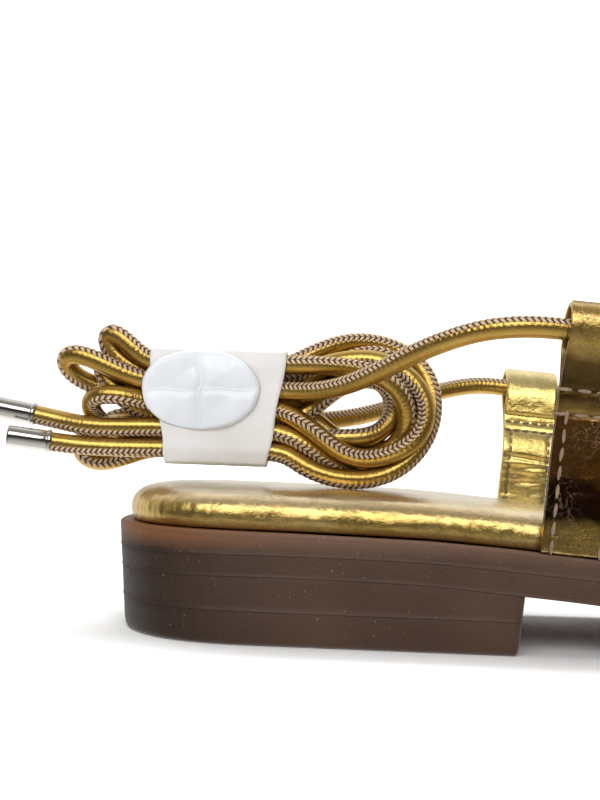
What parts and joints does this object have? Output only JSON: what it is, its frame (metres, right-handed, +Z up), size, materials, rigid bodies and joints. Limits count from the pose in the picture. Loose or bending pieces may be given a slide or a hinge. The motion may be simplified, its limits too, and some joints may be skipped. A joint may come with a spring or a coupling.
{
  "type": "gladiator sandal",
  "caption": "Flat open-back lace-up sandal for the right foot: stacked rubber sole with a low heel, padded gold footbed, toe strap, side loops and rolled leather ties in a banded hank.",
  "frame": {"origin": "on the floor, in the middle of the sole's length and width", "axes": "+X towards the toe, +Z up, +Y towards the inner (medial) side of the right foot"},
  "size_m": [0.2795, 0.0878, 0.0646],
  "materials": {
    "sole_rubber": "matt brown translucent rubber with fine seam lines",
    "gold_leather": "metallic gold leather, glossy, with fine creases",
    "tie_leather": "rolled metallic gold leather with a beige zigzag seam",
    "white_paper": "plain white paper, slightly creased",
    "silver_metal": "polished silver-coloured metal"
  },
  "bodies": {
    "root": {"midsole": "sole_rubber", "outsole": "sole_rubber", "heel_lift": "sole_rubber", "top_piece": "sole_rubber", "footbed": "gold_leather", "lateral_loop": "gold_leather", "medial_loop": "gold_leather", "toe_strap": "gold_leather", "lace": "tie_leather", "lateral_tie": "tie_leather", "medial_tie": "tie_leather", "lateral_tie_end": "tie_leather", "medial_tie_end": "tie_leather", "tie_hank": "tie_leather", "hank_band": "white_paper", "lateral_aglet": "silver_metal", "medial_aglet": "silver_metal"}
  },
  "joints": []
}
